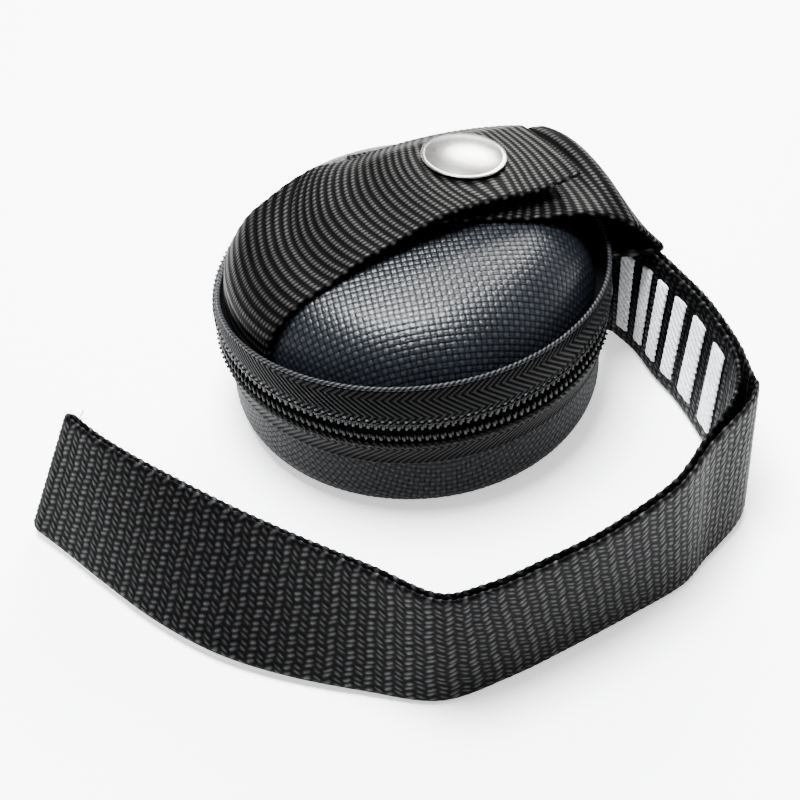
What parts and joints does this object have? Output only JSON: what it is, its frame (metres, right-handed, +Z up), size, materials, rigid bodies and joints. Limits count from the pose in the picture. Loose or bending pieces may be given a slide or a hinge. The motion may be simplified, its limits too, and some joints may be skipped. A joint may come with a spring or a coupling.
{
  "type": "clicker trainer case",
  "caption": "Small round zipped hard case with crossed snap straps over its lid and a flat doubled webbing wrist loop.",
  "frame": {"origin": "centre of the flat base that the closed case stands on", "axes": "+Z up out of the lid, +X towards the side where the wrist loop is sewn, -Y towards the front of the zip"},
  "size_m": [0.123, 0.1136, 0.0446],
  "materials": {
    "ballistic_nylon": "coarse basket weave with a slight gloss",
    "foam": "moulded foam",
    "velvet": "short pile",
    "zip_tape": "herringbone tape",
    "zip_teeth": "nylon coil",
    "thread": "sewing thread",
    "grosgrain": "ribbed webbing",
    "wrist_webbing": "chunky flat webbing",
    "white_yarn": "woven white bars",
    "snap_metal": "satin nickel",
    "slider_metal": "black enamel"
  },
  "bodies": {
    "lower_case": {"lower_cover": "ballistic_nylon", "lower_shell": "foam", "lower_lining": "velvet", "lower_zip_tape": "zip_tape", "lower_zip_coil": "zip_teeth", "lower_stitching": "thread", "lower_hinge_gusset": "zip_tape", "zip_end_stop": "slider_metal", "wrist_loop_tab": "zip_tape"},
    "lid": {"lid_cover": "ballistic_nylon", "lid_shell": "foam", "lid_lining": "velvet", "lid_zip_tape": "zip_tape", "lid_zip_coil": "zip_teeth", "lid_stitching": "thread", "lid_hinge_gusset": "zip_tape", "top_strap_root": "grosgrain", "under_strap_root": "grosgrain", "strap_root_stitches": "thread"},
    "slider": {"slider_body": "slider_metal", "slider_bridge": "slider_metal"},
    "pull": {"zip_pull": "slider_metal"},
    "upper_flap": {"top_strap": "grosgrain", "snap_cap": "snap_metal", "snap_socket": "snap_metal", "socket_spring": "snap_metal"},
    "lower_flap": {"under_strap": "grosgrain", "snap_post": "snap_metal", "snap_stud": "snap_metal"},
    "wrist_loop": {"wrist_loop_inner": "wrist_webbing", "ladder_bars": "white_yarn", "wrist_loop_outer": "wrist_webbing", "wrist_loop_stitches": "thread"}
  },
  "joints": [
    {"name": "lid_hinge", "type": "hinge", "parent": "lower_case", "child": "lid", "pos_m": [0.02333, 0.02781, 0.0206], "axis": [-0.766, 0.6428, 0], "range_deg": [0, 110]},
    {"name": "zip_travel", "type": "hinge", "parent": "lower_case", "child": "slider", "pos_m": [0, 0, 0.0206], "axis": [0, 0, 1], "range_deg": [0, 232]},
    {"name": "pull_turn", "type": "hinge", "parent": "slider", "child": "pull", "pos_m": [-0.00131, 0.03738, 0.0206], "axis": [0, 0, 1], "range_deg": [0, 140]},
    {"name": "top_strap_lift", "type": "hinge", "parent": "lid", "child": "upper_flap", "pos_m": [-0.02828, -0.01319, 0.0301], "axis": [0.4226, -0.9063, 0], "range_deg": [0, 80]},
    {"name": "under_strap_lift", "type": "hinge", "parent": "lid", "child": "lower_flap", "pos_m": [0.0375, 0.0124, 0.0267], "axis": [-0.463, 0.8864, 0], "range_deg": [0, 33]},
    {"name": "wrist_loop_swing", "type": "hinge", "parent": "lower_case", "child": "wrist_loop", "pos_m": [0.0376, 0.009, 0.018], "axis": [0, 0, 1], "range_deg": [0, 50]}
  ],
  "couplings": [
    {"joint": "under_strap_lift", "follows": "top_strap_lift", "ratio": 0.4}
  ]
}
